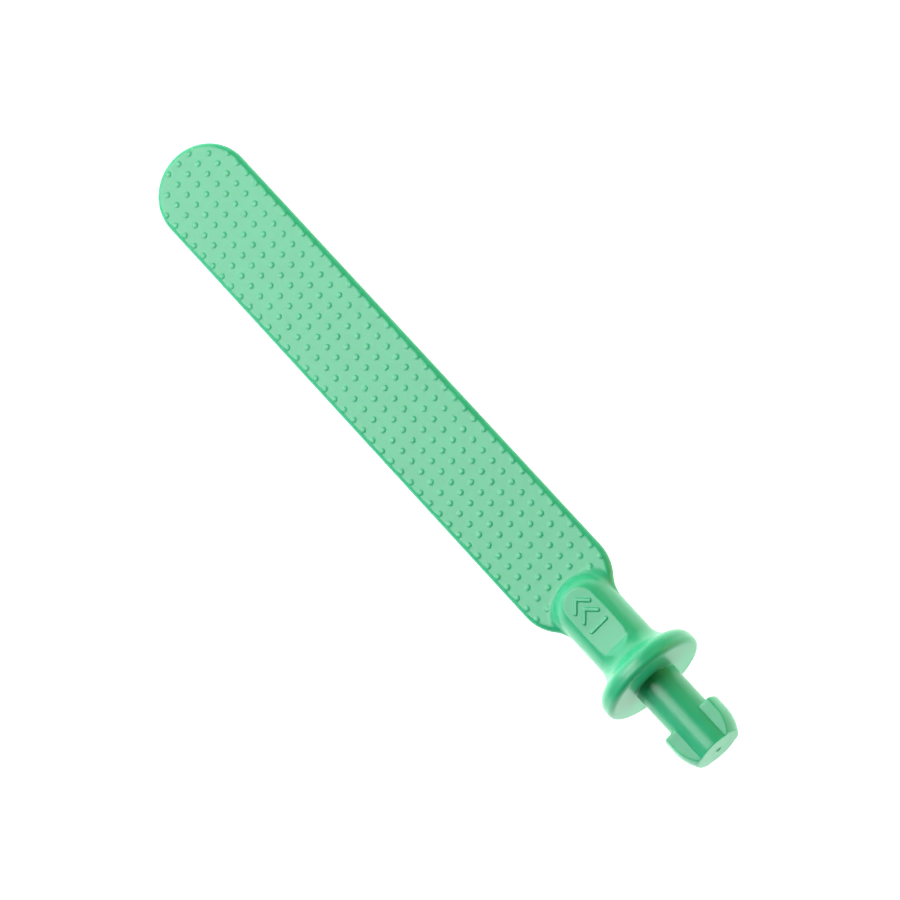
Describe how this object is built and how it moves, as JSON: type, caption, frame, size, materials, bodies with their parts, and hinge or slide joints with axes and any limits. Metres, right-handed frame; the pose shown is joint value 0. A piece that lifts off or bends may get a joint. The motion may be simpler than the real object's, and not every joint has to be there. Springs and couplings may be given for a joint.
{
  "type": "tongue blade tip",
  "caption": "Flat soft-plastic tongue blade with a field of low bumps, a round neck, a collar and a two-lug bayonet post that plugs into a pen-like therapy handle.",
  "frame": {"origin": "centre of the post's end face, on the part's axis", "axes": "+X along the axis from the post to the blade's tip, +Z out of the textured face, +Y completes a right-handed frame"},
  "size_m": [0.1416, 0.019, 0.019],
  "materials": {
    "soft_plastic": "satin, slightly translucent soft green plastic"
  },
  "bodies": {
    "root": {"blade": "soft_plastic", "neck": "soft_plastic", "collar": "soft_plastic", "post": "soft_plastic", "lug_left": "soft_plastic", "lug_right": "soft_plastic"}
  },
  "joints": []
}
